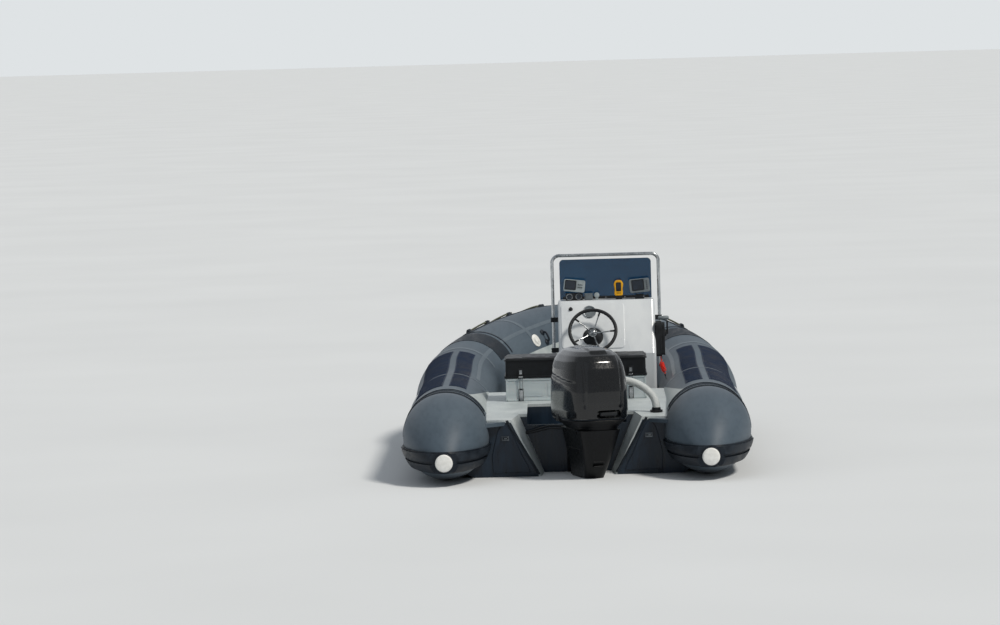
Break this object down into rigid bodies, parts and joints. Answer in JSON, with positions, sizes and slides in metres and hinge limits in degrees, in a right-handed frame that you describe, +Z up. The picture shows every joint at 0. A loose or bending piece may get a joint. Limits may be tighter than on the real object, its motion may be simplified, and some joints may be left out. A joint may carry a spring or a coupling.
{
  "type": "rigid inflatable boat with console and outboard engine",
  "caption": "Rigid inflatable boat with a V hull, grey tubes, centre console, locker seat and a black outboard that tilts and steers.",
  "frame": {"origin": "on the centreline at the waterline, under the aft faces of the stern pods", "axes": "+X to starboard, +Y forward to the bow, +Z up"},
  "size_m": [2.458, 5.5141, 2.1895],
  "materials": {
    "tube_fabric": "coated fabric, satin, fine weave",
    "dark_rubber": "moulded black rubber, satin",
    "tread_rubber": "moulded navy-black rubber with a fine tread",
    "cap_plastic": "white moulded plastic",
    "hull_gelcoat": "dark gelcoat over glass fibre",
    "deck_gelcoat": "light grey gelcoat, worn satin",
    "console_gelcoat": "white gelcoat",
    "screen": "tinted acrylic",
    "stainless": "polished stainless tube",
    "chrome_fittings": "polished stainless fittings",
    "black_plastic": "moulded black plastic",
    "lid_plastic": "black moulded lid",
    "box_plastic": "grey moulded box",
    "instrument": "grey instrument case",
    "yellow_plastic": "yellow moulded plastic",
    "cowl_paint": "black lacquered cowl",
    "engine_paint": "black paint on cast aluminium",
    "hose_plastic": "pale grey corrugated hose",
    "cord_red": "red coiled cord",
    "rope": "braided olive-grey rope",
    "gusset_fabric": "coated fabric",
    "white_vinyl": "white patch"
  },
  "bodies": {
    "boat": {"hull": "hull_gelcoat", "aft_deck": "deck_gelcoat", "cockpit_sole": "deck_gelcoat", "fore_deck": "deck_gelcoat", "tube_starboard": "tube_fabric", "tube_port": "tube_fabric", "tube_bow": "tube_fabric", "cone_starboard": "tube_fabric", "cone_port": "tube_fabric", "cone_cap_starboard": "cap_plastic", "cone_cap_port": "cap_plastic", "rub_strake_starboard": "dark_rubber", "rub_strake_port": "dark_rubber", "cone_strake_starboard": "dark_rubber", "cone_strake_port": "dark_rubber", "tread_starboard": "tread_rubber", "tread_port": "tread_rubber", "bands_starboard": "dark_rubber", "bands_port": "dark_rubber", "oval_patch_starboard": "white_vinyl", "oval_patch_port": "white_vinyl", "valve_starboard": "cap_plastic", "valve_port": "cap_plastic", "anchors_starboard": "dark_rubber", "anchors_port": "dark_rubber", "lifeline_starboard": "rope", "lifeline_port": "rope", "gusset_starboard": "gusset_fabric", "gusset_port": "gusset_fabric", "stern_eye_starboard": "stainless", "stern_eye_port": "stainless", "bow_eye": "stainless", "locker_box": "box_plastic", "locker_hinges": "stainless", "locker_latches": "chrome_fittings", "console": "console_gelcoat", "windscreen": "screen", "console_rail": "stainless", "helm_bezel": "black_plastic", "throttle_box": "black_plastic", "throttle_lever": "black_plastic", "plotter_port": "instrument", "plotter_starboard": "instrument", "handheld": "yellow_plastic", "small_meters": "instrument", "clamp_bracket": "engine_paint", "hose_flange": "black_plastic", "rigging_hose": "hose_plastic", "steering_cables": "black_plastic", "kill_cord": "cord_red"},
    "anchor_hatch": {"anchor_hatch": "deck_gelcoat"},
    "locker_lid": {"locker_lid": "lid_plastic"},
    "helm_wheel": {"wheel_rim": "black_plastic", "wheel_spokes": "stainless"},
    "swivel": {"swivel_bracket": "engine_paint"},
    "outboard": {"cowl": "cowl_paint", "lower_cowl": "cowl_paint", "leg": "engine_paint", "gearcase": "engine_paint"},
    "propeller": {"propeller": "engine_paint"}
  },
  "joints": [
    {"name": "engine_tilt", "type": "hinge", "parent": "boat", "child": "swivel", "pos_m": [0, 0.215, 0.352], "axis": [-1, 0, 0], "range_deg": [0, 65], "deforming": ["rigging_hose", "steering_cables"]},
    {"name": "engine_steer", "type": "hinge", "parent": "swivel", "child": "outboard", "pos_m": [0, 0.13, 0], "axis": [0, 0, 1], "range_deg": [-48, 12], "deforming": ["rigging_hose", "steering_cables"]},
    {"name": "propeller_spin", "type": "hinge", "parent": "outboard", "child": "propeller", "pos_m": [0.11186, -0.21428, -0.49], "axis": [-0.309, 0.9511, 0], "continuous": true},
    {"name": "wheel_turn", "type": "hinge", "parent": "boat", "child": "helm_wheel", "pos_m": [0.134, 2.07764, 0.868], "axis": [0, -0.8572, 0.515], "range_deg": [-216, 864]},
    {"name": "locker_open", "type": "hinge", "parent": "boat", "child": "locker_lid", "pos_m": [0, 1.4273, 0.611], "axis": [-1, 0, 0], "range_deg": [0, 95]},
    {"name": "hatch_open", "type": "hinge", "parent": "boat", "child": "anchor_hatch", "pos_m": [0, 3.756, 0.551], "axis": [-1, 0, 0], "range_deg": [0, 100]}
  ],
  "couplings": [
    {"joint": "wheel_turn", "follows": "engine_steer", "ratio": -18}
  ]
}
